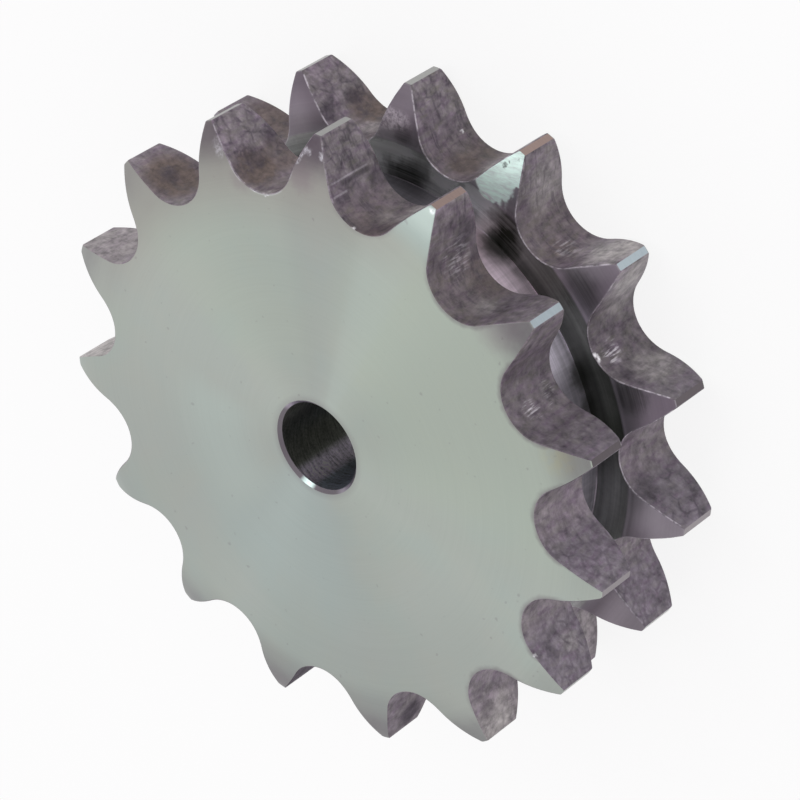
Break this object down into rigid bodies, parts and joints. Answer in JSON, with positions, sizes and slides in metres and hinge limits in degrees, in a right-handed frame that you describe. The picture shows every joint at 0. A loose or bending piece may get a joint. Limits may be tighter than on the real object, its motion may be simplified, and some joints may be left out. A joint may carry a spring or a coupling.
{
  "type": "chain sprocket",
  "caption": "Flat plate wheel with two rows of roller chain teeth, a groove between them and a plain pilot bore.",
  "frame": {"origin": "centre of the bore, midway between the two rows of teeth", "axes": "+Z along the bore, out of one face; the other face, which the wheel lies on, faces -Z; +X through the middle of a tooth in each row"},
  "size_m": [0.0988, 0.0994, 0.0304],
  "materials": {
    "steel": "turned faces with a light phosphated skin, hobbed teeth"
  },
  "bodies": {
    "root": {"sprocket": "steel"}
  },
  "joints": []
}
